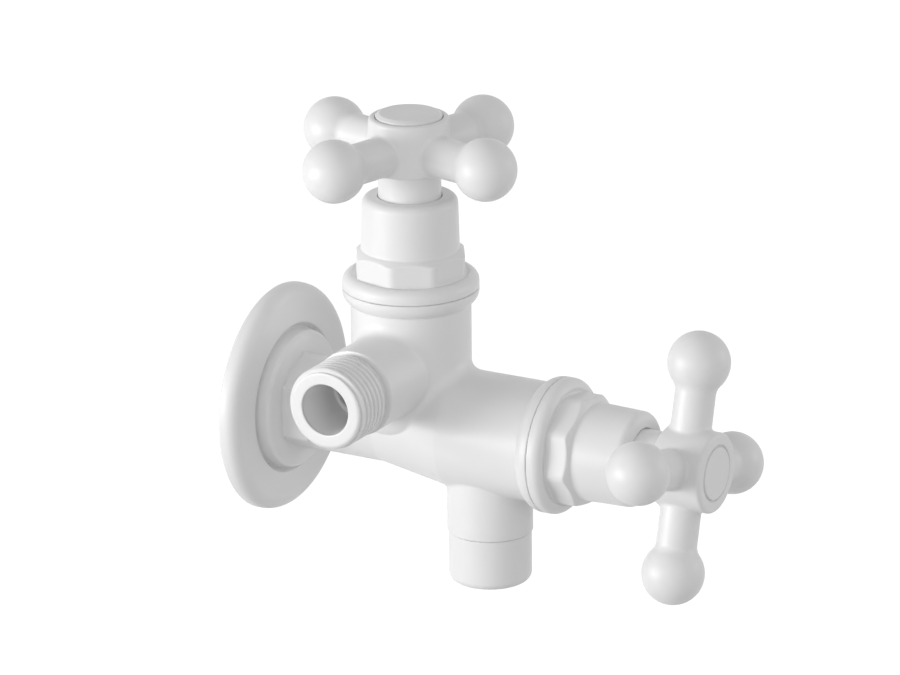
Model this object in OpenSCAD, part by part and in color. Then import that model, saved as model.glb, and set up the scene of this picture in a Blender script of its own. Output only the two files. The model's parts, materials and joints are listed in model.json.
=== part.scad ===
// Two way angle cock with two rising spindle valves, drawn in millimetres.
// The origin is on the inlet axis in the wall plane. The barrel runs out of
// the wall along -Y, the side outlet along -X and the upper valve along +Z.

/* [Body] */
// Distance of the upper valve's axis from the wall
column_y = 39.5; // [38.5:0.5:41]
// Height of the upper bonnet's seat above the inlet axis
column_top = 35.2; // [34.6:0.2:37]
// Distance of the front bonnet's seat from the wall
barrel_front = 81; // [80.5:0.5:84]
// Outer radius of the column and of the barrel's front half
shell_r = 15.05; // [14.8:0.05:15.4]
// Outer radius of the barrel between the hexagon and the column
waist_r = 11.8; // [11.4:0.1:12.2]
// Distance from the wall at which the barrel starts to widen
waist_end = 34; // [31:0.5:36]
// Distance from the wall at which the barrel has its full radius
belly_end = 54; // [50:0.5:56]
// Radius of the rim under each bonnet
rim_r = 17.1; // [16.8:0.1:17.6]
// Height of the straight band on each rim
rim_band = 0.8; // [0.6:0.1:1.2]
// Rounding of each rim towards the shell
rim_round = 3.4; // [3:0.1:4]
// Gap that shows between each rim and its bonnet
rim_gap = 0.25; // [0.2:0.05:0.4]
// Height above the inlet axis at which the column starts to round off
column_foot = 4.5; // [3:0.5:6]
// Radius of the column's rounded foot
column_foot_round = 6; // [4:0.5:8]
// Moulded fillet between the column and the barrel
valley_fillet = 3; // [2:0.1:3.5]
// Radius to which that fillet thins out at its ends
valley_fillet_end = 0.6; // [0.5:0.1:0.8]
// Reach of that fillet round the column's front in degrees either way
valley_front_span = 58; // [45:1:58]
// Reach of that fillet round the column's rear in degrees either way
valley_rear_span = 44; // [35:1:44]
// Moulded fillet above the side outlet's root
side_fillet_top = 2.5; // [1.5:0.1:3]
// Moulded fillet below the side outlet's root
side_fillet_foot = 1; // [0.8:0.1:1.2]
// Moulded fillet round the lower outlet's root
stub_fillet = 1.2; // [0.8:0.1:1.6]
// Depth to which a fillet's edges sink into the walls
fillet_grip = 0.06; // [0.04:0.01:0.1]
// Depth to which a fillet's root reaches into the walls
fillet_root = 1.2; // [0.8:0.1:1.5]

/* [Inlet] */
// Crest radius of the half inch pipe thread
thread_r = 10.4775; // [10.4775:0.0001:10.4775]
// Root radius of that thread
thread_root_r = 9.3155; // [9.3155:0.0001:9.3155]
// Pitch of that thread
thread_pitch = 1.8143; // [1.8143:0.0001:1.8143]
// Width of the flats on the thread's crest and in its root
thread_flat_w = 0.3; // [0.2:0.05:0.4]
// Length of the inlet thread behind the wall plane
inlet_l = 10.5; // [9:0.5:18]
// Width of the plain collar between the wall plane and the inlet's thread
thread_collar_w = 1; // [0.8:0.1:1.1]
// Radius at the chamfered tip of a pipe thread
thread_tip_r = 9.4; // [9:0.1:9.8]
// Length of the chamfer at a thread's tip
thread_chamfer = 1.2; // [0.8:0.1:1.6]
// Radius of the plain shank that the wall flange slides on
shank_plain_r = 11.2; // [11:0.1:11.3]
// Distance of the wrench hexagon's rear face from the wall
hex_start = 8.2; // [8.2:0.1:9]
// Length of the wrench hexagon
hex_l = 7.5; // [6:0.5:9]
// Corner radius of the wrench hexagon
hex_corner_r = 13.15; // [12.9:0.05:13.6]
// Chamfer on the wrench hexagon's corners
hex_chamfer = 0.9; // [0.5:0.1:1.2]

/* [Outlets] */
// Height of the side outlet's axis above the inlet axis
side_z = 15.63; // [15.2:0.01:16]
// Distance of the side outlet's tip from the column's axis
side_tip = 42.8; // [40:0.1:46]
// Radius of the side outlet's plain neck
side_neck_r = 10.9; // [10.7:0.1:11.2]
// Distance of the neck's end from the column's axis
side_neck_end = 28.7; // [27.5:0.1:29]
// Radius of the undercut behind the side outlet's thread
relief_r = 9.1; // [8.9:0.1:9.3]
// Width of that undercut
relief_w = 0.6; // [0.4:0.1:0.8]
// Slope length between the neck and that undercut
relief_slope = 0.4; // [0.2:0.1:0.6]
// Bore radius of the side outlet
side_bore_r = 6.5; // [6:0.1:6.6]
// Distance of the lower outlet's axis from the wall
lower_y = 61.6; // [61.2:0.1:62]
// Outer radius of the lower outlet's stub
stub_r = 10.75; // [10.5:0.05:11]
// Depth of the stub's end below the inlet axis
stub_end = 25.3; // [23:0.1:27]
// Radius of the thread that carries the outlet sleeve
sleeve_thread_r = 9; // [8.8:0.1:9.2]
// Length of that thread
sleeve_thread_l = 6.7; // [6:0.1:7.5]
// Bore radius of the lower outlet
lower_bore_r = 7; // [6.5:0.1:7.2]

/* [Waterways] */
// Bore radius of the inlet
inlet_bore_r = 6.5; // [6:0.1:6.8]
// Radius of the hole through each valve seat
seat_hole_r = 5; // [4.6:0.1:5.2]
// Width of the raised lip round each seat hole
lip_w = 1.2; // [1:0.1:1.5]
// Height of that lip
lip_h = 1; // [0.8:0.1:1.2]
// Thickness of the wall that carries the front seat
seat_wall = 2; // [1.5:0.1:2.5]
// Depth of each seat lip below its bonnet's seat
seat_depth = 26; // [25.5:0.1:26.5]
// Radius of each valve chamber
chamber_r = 11.2; // [10.8:0.1:11.6]
// Depth of the bonnet's thread in the body
thread_depth = 13; // [12.6:0.1:13.4]

/* [Bonnet] */
// Thread radius of a bonnet's shank
bonnet_shank_r = 12.4; // [12.2:0.1:12.5]
// Length of that shank
bonnet_shank_l = 12; // [11:0.1:12.4]
// Thickness of the bonnet's round flange
bonnet_flange_h = 3.6; // [3.4:0.1:4.2]
// Rounding of that flange's upper edge
bonnet_flange_round = 2.8; // [2:0.1:3]
// Corner radius of the bonnet's octagon before its corners are turned off
octagon_r = 14.5; // [14.3:0.05:14.7]
// Radius to which the octagon's corners are turned
octagon_corner_r = 14.15; // [14:0.05:14.25]
// Height of the octagon's top above the bonnet's seat
octagon_top = 9.8; // [9.4:0.1:10.6]
// Width of the octagon's flat shoulder round the dome
octagon_shoulder = 0.2; // [0.2:0.1:0.4]
// Height at which the octagon's corners start to slope
octagon_slope = 7.9; // [7:0.1:8.3]
// Turn of the upper bonnet's octagon about its axis in degrees
upper_octagon_turn = 9; // [0:1:44]
// Turn of the front bonnet's octagon about its axis in degrees
front_octagon_turn = 14; // [0:1:44]
// Radius of the dome at its foot
dome_foot_r = 12.5; // [12.3:0.1:12.7]
// Radius of the dome near its top
dome_r = 12; // [11.8:0.1:12.2]
// Height of the dome's top above the bonnet's seat
dome_top = 23.5; // [22:0.1:24]
// Rounding of the dome's upper edge
dome_round = 2; // [1.5:0.1:2.4]
// Outer radius of the flat ring seal under the bonnet
gasket_r = 15.4; // [15:0.1:15.6]
// Thickness of that seal
gasket_h = 1.2; // [1:0.1:1.5]

/* [Spindle] */
// Thread radius of a spindle
spindle_thread_r = 6; // [5.8:0.1:6.2]
// Height of the spindle thread's top above the bonnet's seat
spindle_thread_top = -5; // [-5.4:0.1:-4.8]
// Radius of the spindle's plain stem
stem_r = 4.5; // [4.3:0.1:4.6]
// Height of the stem's shoulder under the square end
stem_top = 14.4; // [14.4:0.1:15]
// Width across the flats of the spindle's square end
square_w = 6.2; // [6:0.1:6.3]
// Height of the square end's top above the bonnet's seat
square_top = 27; // [25:0.1:28]
// Lift of the valve between shut and fully open
lift = 6; // [5:0.1:6]
// Section radius of a spindle seal ring
ring_section = 0.66; // [0.6:0.01:0.7]
// Height of the lower seal ring above the bonnet's seat
ring_low = 3.4; // [3.2:0.1:3.6]
// Distance between the two seal rings
ring_step = 3; // [2.6:0.1:3.2]

/* [Jumper] */
// Radius of the jumper valve's plate
jumper_r = 7.6; // [7.2:0.1:8]
// Thickness of that plate
jumper_h = 2; // [1.6:0.1:2.2]
// Radius of the jumper's guide stem
jumper_stem_r = 2.45; // [2.3:0.05:2.5]
// Length of the guide stem above the plate
jumper_stem_l = 12; // [10:0.5:12]
// Radius of the stud that holds the washer
stud_r = 1.9; // [1.8:0.05:2]
// Radius of the rubber washer
washer_r = 7; // [6.8:0.1:7.2]
// Thickness of the rubber washer
washer_h = 3; // [2.5:0.1:3.2]
// Width across the flats of the washer's nut
nut_w = 7; // [6.6:0.1:7]
// Thickness of that nut
nut_h = 2.2; // [1.8:0.1:2.4]

/* [Handle] */
// Height of the plane of the handle's arms above the bonnet's seat
handle_h = 35.4; // [34.8:0.1:36]
// Turn of each cross handle at rest in degrees
handle_turn = -15; // [-45:1:45]
// Distance of each ball's centre from the spindle's axis
arm_l = 26.1; // [24:0.1:28]
// Radius of a handle ball
ball_r = 7.85; // [7.5:0.05:8.4]
// Radius of a handle arm
arm_r = 5.1; // [4.8:0.1:5.6]
// Radius of the hollow curve between an arm and its ball
ball_fillet = 3.5; // [2:0.1:5]
// Moulded fillet above an arm's root on the hub
arm_fillet_top = 1.6; // [1:0.1:2]
// Moulded fillet below an arm's root on the hub
arm_fillet_foot = 0.6; // [0.5:0.1:0.8]
// Radius of the handle's hub
hub_r = 10.1; // [9.8:0.1:10.4]
// Height of the hub's rim above the plane of the arms
hub_top = 8.4; // [8:0.1:8.8]
// Depth of the hub's underside below the plane of the arms
hub_bottom = 5.3; // [4.8:0.1:5.6]
// Rounding of the hub's upper edge
hub_round = 1.2; // [0.8:0.1:1.3]
// Radius of the neck between the hub and the bonnet
neck_r = 7.85; // [7.7:0.05:7.9]
// Outer radius of the index button
button_r = 8.3; // [8:0.05:8.4]
// Radius of the index button's flat top
button_flat_r = 7; // [6.6:0.1:7.4]
// Depth of the button's seat below the hub's rim
button_seat = 2; // [1.6:0.1:2.4]
// Height of the button's top above the hub's rim
button_rise = 0.9; // [0.6:0.1:1.2]
// Radius of the recess over the handle screw
screw_recess_r = 4.5; // [4.2:0.1:4.8]
// Radius of the handle screw's head
screw_head_r = 3.6; // [3.4:0.1:3.8]
// Height of the handle screw's head
screw_head_h = 2.6; // [2.2:0.1:2.8]
// Radius of the handle screw's shank
screw_r = 2; // [1.8:0.1:2]
// Length of the handle screw's shank
screw_l = 15; // [13:0.5:16]

/* [Wall flange] */
// Outer radius of the wall flange
flange_r = 29; // [28:0.5:31]
// Thickness of the flange at its face
flange_h = 5.3; // [5:0.1:5.6]
// Rounding of the flange's rim
flange_round = 3.4; // [2.4:0.1:3.8]
// Bevel at the edge that meets the wall
flange_back_bevel = 0.6; // [0.4:0.1:1]
// Radius of the raised boss round the shank
boss_r = 17.9; // [17:0.1:18.4]
// Height of the boss's top above the wall
boss_top = 7.9; // [7.4:0.1:8]
// Width of the boss's sloping edge
boss_slope = 1.4; // [1:0.1:2]
// Radius of the flange's bore
flange_bore_r = 11.5; // [11.5:0.1:11.8]
// Wall thickness of the hollow flange
flange_wall = 2.3; // [2:0.1:2.6]

/* [Outlet sleeve] */
// Outer radius of the outlet sleeve
sleeve_r = 10.4; // [10.3:0.05:10.6]
// Depth of the sleeve's lower end below the inlet axis
sleeve_end = 38.5; // [38.2:0.1:40]
// Gap that shows between the stub and the sleeve
sleeve_gap = 0.3; // [0.2:0.05:0.5]
// Rounding of the sleeve's lower edge
sleeve_round = 2; // [1:0.1:2.2]
// Bore radius of the sleeve's lower lip
sleeve_lip_r = 7.8; // [7.4:0.1:8]
// Thickness of the sleeve's lower lip
sleeve_lip_h = 1.2; // [1:0.1:1.4]
// Thickness of the flat washer inside the sleeve
sleeve_washer_h = 1.2; // [1:0.1:1.3]
// Thickness of the perforated stream plate
stream_plate_h = 1.4; // [1:0.1:1.6]
// Radius of a hole in the stream plate
stream_hole_r = 0.8; // [0.6:0.05:0.9]
// Height of the stream insert's ring under its plate
stream_ring_h = 1.2; // [1:0.1:1.4]
// Thickness of the outlet mesh
mesh_h = 0.6; // [0.5:0.1:0.8]
// Radius of a hole in the outlet mesh
mesh_hole_r = 0.75; // [0.6:0.05:0.85]
// Distance between holes in the outlet mesh
mesh_step = 2.2; // [2:0.1:2.6]

/* [Fits] */
// Radial clearance of a turning or sliding fit
running = 0.05; // [0.03:0.01:0.1]
// Radial clearance between pieces that are screwed together
thread_play = 0.05; // [0.03:0.01:0.1]
// Radial clearance of a loose fit
loose = 0.15; // [0.1:0.01:0.3]
// Overrun of cuts past a surface
over = 0.5; // [0.2:0.1:1]

/* [Hidden] */
$fn = 72;

// Sizes worked out from the driving dimensions
seat_run = column_top - seat_depth;
floor_depth = seat_depth + lip_h;
inlet_bore_end = barrel_front - floor_depth - seat_wall;
washer_base = -seat_depth;
plate_base = washer_base + washer_h;
plate_top = plate_base + jumper_h;
guide_top = plate_top + jumper_stem_l;
stem_bore_r = stem_r + running;
thread_bore_r = spindle_thread_r + running;
thread_bore_top = spindle_thread_top + lift + over;
neck_bore_r = neck_r + running;
neck_bottom = stem_top;
sleeve_bore_r = sleeve_thread_r + thread_play;
sleeve_top = stub_end + sleeve_gap;
washer_z = stub_end + sleeve_thread_l;
stream_z = washer_z + sleeve_washer_h;
mesh_z = stream_z + stream_plate_h + stream_ring_h;
lip_z = sleeve_end - sleeve_lip_h;
button_base = hub_top - button_seat;
arm_count = 4;
hexagon_turn = 30;
stream_rings = 2;
stream_ring_holes = 6;
mesh_rows = 3;
half_share = 1 / 2;
third_share = 1 / 3;
belly_slope = (shell_r - waist_r) / (belly_end - waist_end);
fillet_steps = 48;
fillet_arc_steps = 6;

// Direction of a vector as a unit vector
function unit(v) = v / norm(v);

// Unit vector at a share of the way round from one unit vector to another
function between(from, to, share) =
    let (turn = acos(from * to))
    (from * sin(turn * (1 - share)) + to * sin(turn * share)) / sin(turn);

// Barrel's outer radius at a distance from the wall
function barrel_r_at(y) =
    min(shell_r, max(waist_r, waist_r + (y - waist_end) * belly_slope));

// Section of a fillet: the arc of a rolled ball and one root inside the walls
function fillet_section(centre, ball, to_first, to_second, root) = concat(
    [for (j = [0 : fillet_arc_steps])
        centre + ball * between(to_first, to_second, j / fillet_arc_steps)],
    [root]
);

// Triangles that join the corners of two neighbouring sections
function fillet_band(first, second, count) = [
    for (j = [0 : count - 1]) for (flip = [0, 1]) flip == 0
        ? [first + j, first + (j + 1) % count, second + j]
        : [first + (j + 1) % count, second + (j + 1) % count, second + j]
];

// Places a valve piece, drawn with its bonnet's seat at zero, on the column
module at_upper() {
    translate([0, -column_y, column_top]) children();
}

// Places the same piece on the front end of the barrel
module at_front() {
    translate([0, -barrel_front, 0]) rotate([90, 0, 0]) children();
}

// Turns a solid drawn along +Z so that it runs out of the wall along -Y
module from_wall() {
    rotate([90, 0, 0]) children();
}

// Turns a solid drawn along +Z so that it runs into the wall along +Y
module into_wall() {
    rotate([-90, 0, 0]) children();
}

// Turns a solid drawn along +Z so that it runs along the side outlet
module along_side() {
    translate([0, -column_y, side_z]) rotate([0, -90, 0]) children();
}

// Turns a solid drawn along +Z so that it runs down the lower outlet
module along_lower() {
    translate([0, -lower_y, 0]) rotate([180, 0, 0]) children();
}

// Section of a disc whose upper edge is a true arc
module round_edge_section(r, low, high, arc) {
    intersection() {
        union() {
            square([r, high - arc]);
            square([r - arc, high]);
            translate([r - arc, high - arc]) circle(arc);
        }
        translate([0, low]) square([r, high - low]);
    }
}

// Section of a rim whose upper face lies at the given height
module rim_section(top) {
    arc_z = top - rim_band;
    translate([rim_r - rim_round, arc_z]) intersection() {
        circle(rim_round);
        translate([0, -rim_round]) square(rim_round);
    }
    translate([0, arc_z]) square([rim_r, rim_band - rim_gap]);
    translate([0, arc_z - rim_round]) square([rim_r - rim_round, rim_round]);
}

// Section of a pipe thread from its start to its chamfered tip, one ring a turn
module thread_section(start, tip) {
    crest = thread_flat_w * half_share;
    root = (thread_pitch - thread_flat_w) * half_share;
    first = tip - thread_chamfer - crest;
    rings = floor((first - root - start) / thread_pitch) + 1;
    polygon(concat(
        [[0, start], [thread_root_r, start]],
        [for (i = [rings - 1 : -1 : 0]) let (z = first - i * thread_pitch) each [
            [thread_root_r, z - root],
            [thread_r, z - crest],
            [thread_r, z + crest],
            if (i > 0) [thread_root_r, z + root]
        ]],
        [[thread_tip_r, tip], [0, tip]]
    ));
}

// Barrel with its inlet thread, waist, belly and front rim
module barrel_outside() {
    into_wall() rotate_extrude() thread_section(0, inlet_l);
    from_wall() rotate_extrude() rim_section(barrel_front);
    from_wall() rotate_extrude() polygon([
        [0, -thread_collar_w],
        [thread_r, -thread_collar_w],
        [thread_r, 0],
        [shank_plain_r, 0],
        [shank_plain_r, hex_start],
        [waist_r, hex_start],
        [waist_r, waist_end],
        [shell_r, belly_end],
        [shell_r, barrel_front - rim_gap],
        [0, barrel_front - rim_gap]
    ]);
}

// Column with its rounded foot and its rim
module column_outside() {
    translate([0, -column_y, 0]) rotate_extrude() {
        translate([shell_r - column_foot_round, column_foot]) intersection() {
            circle(column_foot_round);
            translate([0, -column_foot_round]) square(column_foot_round);
        }
        translate([0, column_foot - column_foot_round])
            square([shell_r - column_foot_round, column_foot_round]);
        polygon([
            [0, column_foot],
            [shell_r, column_foot],
            [shell_r, column_top - rim_gap],
            [0, column_top - rim_gap]
        ]);
        rim_section(column_top);
    }
}

// Side outlet with its plain neck, undercut and pipe thread
module side_outlet_outside() {
    relief_start = side_neck_end + relief_slope;
    relief_end = relief_start + relief_w;
    along_side() rotate_extrude() thread_section(relief_end, side_tip);
    along_side() rotate_extrude() polygon([
        [0, 0],
        [side_neck_r, 0],
        [side_neck_r, side_neck_end],
        [relief_r, relief_start],
        [relief_r, relief_end],
        [0, relief_end]
    ]);
}

// Lower outlet's stub and the thread that carries the sleeve
module lower_outlet_outside() {
    along_lower() rotate_extrude() polygon([
        [0, 0],
        [stub_r, 0],
        [stub_r, stub_end],
        [sleeve_thread_r, stub_end],
        [sleeve_thread_r, stub_end + sleeve_thread_l],
        [0, stub_end + sleeve_thread_l]
    ]);
}

// Fillet round the root of a thin cylinder along +X on a thick one along Z,
// which narrows below cone_z
module saddle_fillet(thick, thin, ball_top, ball_foot, cone_z, cone_slope) {
    count = fillet_arc_steps + 2;
    sections = [for (i = [0 : fillet_steps - 1]) let (
        t = i * 360 / fillet_steps,
        ball = ball_foot + (ball_top - ball_foot) * (1 + sin(t)) * half_share,
        swing = thin + ball - fillet_grip,
        wall = thick - max(0, cone_z - swing * sin(t)) * cone_slope,
        sweep = wall + ball - fillet_grip,
        inner = thin - fillet_root,
        c = [sqrt(sweep * sweep - pow(swing * cos(t), 2)), swing * cos(t), swing * sin(t)],
        root = [
            sqrt(pow(wall - fillet_root, 2) - pow(inner * cos(t), 2)),
            inner * cos(t),
            inner * sin(t)
        ]
    ) fillet_section(c, ball, unit([-c.x, -c.y, 0]), unit([0, -c.y, -c.z]), root)];
    polyhedron(
        points = [for (section = sections) for (point = section) point],
        faces = [for (i = [0 : fillet_steps - 1])
            for (face = fillet_band(i * count, ((i + 1) % fillet_steps) * count, count)) face]
    );
}

// Fillet in the valley between the column and the barrel, drawn on the +Y side
// of the column's axis, for the column's front (side 1) or rear (side -1)
module valley_bow(side, span) {
    count = fillet_arc_steps + 2;
    inner = shell_r - fillet_root;
    sections = [for (i = [0 : fillet_steps]) let (
        share = (i + i) / fillet_steps - 1,
        turn = span * share,
        ball = valley_fillet + (valley_fillet_end - valley_fillet) * share * share,
        sweep = shell_r + ball - fillet_grip,
        rise = barrel_r_at(column_y + side * sweep * cos(turn)) + ball - fillet_grip,
        x = sweep * sin(turn),
        c = [x, sweep * cos(turn), sqrt(rise * rise - x * x)],
        under = barrel_r_at(column_y + side * inner * cos(turn)) - fillet_root,
        root = [
            inner * sin(turn),
            inner * cos(turn),
            sqrt(under * under - pow(inner * sin(turn), 2))
        ]
    ) fillet_section(c, ball, unit([-c.x, -c.y, 0]), unit([-c.x, 0, -c.z]), root)];
    last = fillet_steps * count;
    polyhedron(
        points = [for (section = sections) for (point = section) point],
        faces = concat(
            [for (i = [0 : fillet_steps - 1])
                for (face = fillet_band(i * count, (i + 1) * count, count)) face],
            [for (j = [0 : fillet_arc_steps - 1]) [count - 1, j + 1, j]],
            [for (j = [0 : fillet_arc_steps - 1]) [last + count - 1, last + j, last + j + 1]]
        )
    );
}

// Fillets moulded between the column and the barrel
module valley_fillets() {
    translate([0, -column_y, 0]) {
        mirror([0, 1, 0]) valley_bow(1, valley_front_span);
        valley_bow(-1, valley_rear_span);
    }
}

// Fillets moulded at the roots of both outlets
module outlet_fillets() {
    translate([0, -column_y, side_z]) rotate([0, 0, 180])
        saddle_fillet(shell_r, side_neck_r, side_fillet_top, side_fillet_foot, -shell_r, 0);
    translate([0, -lower_y, 0]) from_wall() rotate([0, 0, -90])
        saddle_fillet(
            shell_r, stub_r, stub_fillet, stub_fillet, belly_end - lower_y, belly_slope
        );
}

// Wrench hexagon with chamfered corners
module wrench_hexagon() {
    hex_end = hex_start + hex_l;
    from_wall() intersection() {
        translate([0, 0, hex_start]) rotate([0, 0, hexagon_turn])
            cylinder(r = hex_corner_r, h = hex_l, $fn = 6);
        rotate_extrude() polygon([
            [0, hex_start],
            [hex_corner_r - hex_chamfer, hex_start],
            [hex_corner_r + over, hex_start + hex_chamfer + over],
            [hex_corner_r + over, hex_end - hex_chamfer - over],
            [hex_corner_r - hex_chamfer, hex_end],
            [0, hex_end]
        ]);
    }
}

// Space of one valve: seat hole, lip, chamber, thread and seal recess
module valve_space() {
    rotate_extrude() polygon([
        [0, -seat_depth - seat_run],
        [seat_hole_r, -seat_depth - seat_run],
        [seat_hole_r, -seat_depth],
        [seat_hole_r + lip_w, -seat_depth],
        [seat_hole_r + lip_w, -floor_depth],
        [chamber_r, -floor_depth],
        [chamber_r, -thread_depth],
        [bonnet_shank_r + thread_play, -thread_depth],
        [bonnet_shank_r + thread_play, -gasket_h],
        [gasket_r + loose, -gasket_h],
        [gasket_r + loose, over],
        [0, over]
    ]);
}

// Water passages of the body
module waterways() {
    from_wall() translate([0, 0, -inlet_l - over])
        cylinder(r = inlet_bore_r, h = inlet_bore_end + inlet_l + over);
    at_upper() valve_space();
    at_front() valve_space();
    along_side() cylinder(r = side_bore_r, h = side_tip + over);
    along_lower() cylinder(r = lower_bore_r, h = stub_end + sleeve_thread_l + over);
}

// Moulded body: inlet, column, barrel, seats and outlets in one piece
module valve_body() {
    color("white") difference() {
        union() {
            barrel_outside();
            column_outside();
            side_outlet_outside();
            lower_outlet_outside();
            outlet_fillets();
            valley_fillets();
            wrench_hexagon();
        }
        waterways();
    }
}

// Loose wall flange with a raised boss, hollow at the back
module wall_flange() {
    hollow_r = flange_r - flange_wall - flange_round * half_share;
    color("white") from_wall() rotate_extrude() difference() {
        union() {
            round_edge_section(flange_r, flange_back_bevel, flange_h, flange_round);
            polygon([
                [0, 0],
                [flange_r - flange_back_bevel, 0],
                [flange_r, flange_back_bevel],
                [0, flange_back_bevel]
            ]);
            polygon([
                [0, flange_h],
                [boss_r, flange_h],
                [boss_r - boss_slope * third_share, boss_top - boss_slope],
                [boss_r - boss_slope, boss_top - boss_slope * third_share],
                [hex_corner_r, boss_top],
                [0, boss_top]
            ]);
        }
        translate([0, -over]) square([flange_bore_r, boss_top + over + over]);
        translate([flange_bore_r + flange_wall, -over])
            square([hollow_r - flange_bore_r - flange_wall, flange_h - flange_wall + over]);
        translate([flange_bore_r + flange_wall, -over]) square([
            boss_r - flange_bore_r - flange_wall - flange_wall,
            boss_top - flange_wall - boss_slope + over
        ]);
    }
}

// Smooth sleeve screwed on the lower outlet
module outlet_sleeve() {
    color("white") along_lower() rotate_extrude() difference() {
        round_edge_section(sleeve_r, sleeve_top, sleeve_end, sleeve_round);
        square([sleeve_bore_r, lip_z]);
        square([sleeve_lip_r, sleeve_end + over]);
    }
}

// Flat washer between the lower outlet's thread and the stream insert
module sleeve_washer() {
    color("dimgray") along_lower() translate([0, 0, washer_z]) difference() {
        cylinder(r = sleeve_thread_r, h = sleeve_washer_h);
        translate([0, 0, -over]) cylinder(r = lower_bore_r, h = sleeve_washer_h + over + over);
    }
}

// Perforated insert that breaks up the stream
module stream_insert() {
    plate_end = stream_z + stream_plate_h;
    ring_inner_r = sleeve_lip_r;
    color("gainsboro") along_lower() difference() {
        translate([0, 0, stream_z])
            cylinder(r = sleeve_thread_r, h = stream_plate_h + stream_ring_h);
        translate([0, 0, plate_end])
            cylinder(r = ring_inner_r, h = stream_ring_h + over);
        for (ring = [1 : stream_rings], i = [0 : ring * stream_ring_holes - 1])
            rotate([0, 0, i * 360 / (ring * stream_ring_holes)])
                translate([ring * sleeve_lip_r / (stream_rings + 1), 0, stream_z - over])
                    cylinder(r = stream_hole_r, h = stream_plate_h + over + over, $fn = 24);
        translate([0, 0, stream_z - over])
            cylinder(r = stream_hole_r, h = stream_plate_h + over + over, $fn = 24);
    }
}

// Mesh disc at the lower end of the sleeve
module outlet_mesh() {
    reach = sleeve_lip_r - mesh_step * half_share;
    color("silver") along_lower() difference() {
        translate([0, 0, lip_z - mesh_h]) cylinder(r = sleeve_thread_r, h = mesh_h);
        for (x = [-mesh_rows : mesh_rows], y = [-mesh_rows : mesh_rows])
            if (norm([x, y]) * mesh_step < reach)
                translate([x * mesh_step, y * mesh_step, lip_z - mesh_h - over])
                    cylinder(r = mesh_hole_r, h = mesh_h + over + over, $fn = 16);
    }
}

// Bonnet: threaded shank, round flange, octagon and dome
module bonnet(octagon_turn) {
    slope_top_r = dome_foot_r + octagon_shoulder;
    shank_root = bonnet_flange_h * third_share;
    dome_root = bonnet_flange_h * half_share;
    color("white") difference() {
        union() {
            translate([0, 0, -bonnet_shank_l])
                cylinder(r = bonnet_shank_r, h = bonnet_shank_l + shank_root);
            rotate_extrude()
                round_edge_section(rim_r, 0, bonnet_flange_h, bonnet_flange_round);
            intersection() {
                rotate([0, 0, octagon_turn]) cylinder(r = octagon_r, h = octagon_top, $fn = 8);
                rotate_extrude() polygon([
                    [0, dome_root],
                    [octagon_corner_r, dome_root],
                    [octagon_corner_r, octagon_slope],
                    [slope_top_r, octagon_top],
                    [0, octagon_top]
                ]);
            }
            rotate_extrude() {
                round_edge_section(dome_r, dome_root, dome_top, dome_round);
                polygon([
                    [0, dome_root],
                    [dome_foot_r, dome_root],
                    [dome_r, dome_top - dome_round],
                    [0, dome_top - dome_round]
                ]);
            }
        }
        rotate_extrude() polygon([
            [0, -bonnet_shank_l - over],
            [thread_bore_r, -bonnet_shank_l - over],
            [thread_bore_r, thread_bore_top],
            [stem_bore_r, thread_bore_top],
            [stem_bore_r, neck_bottom - over],
            [neck_bore_r, neck_bottom - over],
            [neck_bore_r, dome_top + over],
            [0, dome_top + over]
        ]);
    }
}

// Flat seal ring between a bonnet and the body
module bonnet_gasket() {
    color("dimgray") translate([0, 0, -gasket_h]) difference() {
        cylinder(r = gasket_r, h = gasket_h);
        translate([0, 0, -over])
            cylinder(r = bonnet_shank_r + loose, h = gasket_h + over + over);
    }
}

// Rising spindle: thread, grooved stem and square end
module spindle() {
    groove_r = stem_r - ring_section - ring_section + running * half_share;
    groove_h = ring_section + ring_section + loose;
    color("ivory") difference() {
        union() {
            translate([0, 0, plate_top])
                cylinder(r = spindle_thread_r, h = spindle_thread_top - plate_top);
            translate([0, 0, plate_top]) cylinder(r = stem_r, h = stem_top - plate_top);
            intersection() {
                translate([-square_w * half_share, -square_w * half_share, stem_top - over])
                    cube([square_w, square_w, square_top - stem_top + over]);
                cylinder(r = stem_r - running, h = square_top);
            }
        }
        translate([0, 0, plate_top - over])
            cylinder(r = jumper_stem_r + running, h = jumper_stem_l + over + over);
        translate([0, 0, handle_h - screw_l - over])
            cylinder(r = screw_r + thread_play, h = screw_l);
        for (i = [0, 1]) rotate_extrude()
            translate([groove_r, ring_low + i * ring_step - groove_h * half_share])
                square([stem_r, groove_h]);
    }
}

// Two seal rings in the spindle's grooves
module spindle_rings() {
    ring_centre_r = stem_r - ring_section + running * half_share;
    color("dimgray") for (i = [0, 1])
        translate([0, 0, ring_low + i * ring_step]) rotate_extrude()
            translate([ring_centre_r, 0]) circle(ring_section, $fn = 32);
}

// Jumper valve: guide stem, plate and stud
module jumper_valve() {
    stud_end = washer_base - nut_h;
    color("ivory") {
        translate([0, 0, plate_base]) cylinder(r = jumper_r, h = jumper_h);
        translate([0, 0, plate_top - over]) cylinder(r = jumper_stem_r, h = jumper_stem_l + over);
        translate([0, 0, stud_end]) cylinder(r = stud_r, h = plate_base - stud_end + over);
    }
}

// Rubber washer that closes on the seat's lip
module jumper_washer() {
    color("dimgray") translate([0, 0, washer_base]) difference() {
        cylinder(r = washer_r, h = washer_h);
        translate([0, 0, -over])
            cylinder(r = stud_r + thread_play, h = washer_h + over + over);
    }
}

// Hexagon nut that holds the washer
module jumper_nut() {
    nut_corner_r = nut_w * half_share / cos(hexagon_turn);
    color("goldenrod") translate([0, 0, washer_base - nut_h]) difference() {
        cylinder(r = nut_corner_r, h = nut_h, $fn = 6);
        translate([0, 0, -over])
            cylinder(r = stud_r + thread_play, h = nut_h + over + over);
    }
}

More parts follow.
